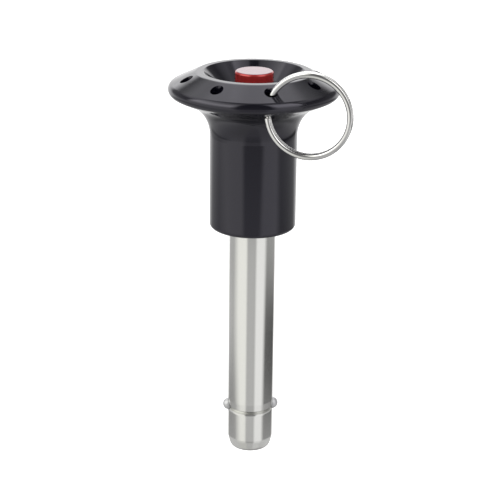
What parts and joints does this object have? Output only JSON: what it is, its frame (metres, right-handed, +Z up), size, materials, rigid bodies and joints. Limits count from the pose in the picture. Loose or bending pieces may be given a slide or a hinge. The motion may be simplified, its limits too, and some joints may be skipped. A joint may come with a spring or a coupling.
{
  "type": "ball lock pin",
  "caption": "Quick-release ball lock pin: hollow shank with sprung locking balls, flanged handle with lanyard holes round its rim, push button in a dished head, and a split ring.",
  "frame": {"origin": "on the pin's axis at the shoulder, where the handle's underside meets the shank", "axes": "the pin lies on a level surface, on its flange's rim and its tip: +Z is up, +Y runs along the pin in plan from the tip to the head, and +X is to the right seen from above with the head at the top. The pin's own axis rises 9.41 degrees from +Y towards the head."},
  "size_m": [0.0381, 0.0871, 0.0361],
  "materials": {
    "black_anodised": "black anodised, satin gloss",
    "ground_stainless": "ground and polished round",
    "ball_steel": "polished, slightly dull",
    "red_anodised": "red anodised, glossy",
    "inner_steel": "turned",
    "spring_steel": "drawn wire",
    "ring_steel": "bright nickel plated wire"
  },
  "bodies": {
    "pin": {"handle": "black_anodised", "shank": "ground_stainless", "return_spring": "spring_steel"},
    "plunger": {"push_button": "red_anodised", "spindle": "inner_steel"},
    "ball_left": {"locking_ball_left": "ball_steel"},
    "ball_right": {"locking_ball_right": "ball_steel"},
    "ring": {"split_ring": "ring_steel"}
  },
  "joints": [
    {"name": "plunger_press", "type": "slide", "parent": "pin", "child": "plunger", "axis": [0, -0.9866, -0.1634], "range_m": [0, 0.0044], "stiffness_N_per_m": 1000, "springref_m": -0.006, "deforming": ["return_spring"]},
    {"name": "ball_left_slide", "type": "slide", "parent": "pin", "child": "ball_left", "axis": [0.9962, 0.0142, -0.086], "range_m": [0, 0.00114]},
    {"name": "ball_right_slide", "type": "slide", "parent": "pin", "child": "ball_right", "axis": [-0.9962, -0.0142, 0.086], "range_m": [0, 0.00114]},
    {"name": "ring_swing", "type": "hinge", "parent": "pin", "child": "ring", "pos_m": [0.00337, 0.02763, 0.01882], "axis": [0, 0.9866, 0.1634], "range_deg": [-139, 11]}
  ],
  "couplings": [
    {"joint": "ball_left_slide", "follows": "plunger_press", "ratio": 0.25909},
    {"joint": "ball_right_slide", "follows": "plunger_press", "ratio": 0.25909}
  ]
}
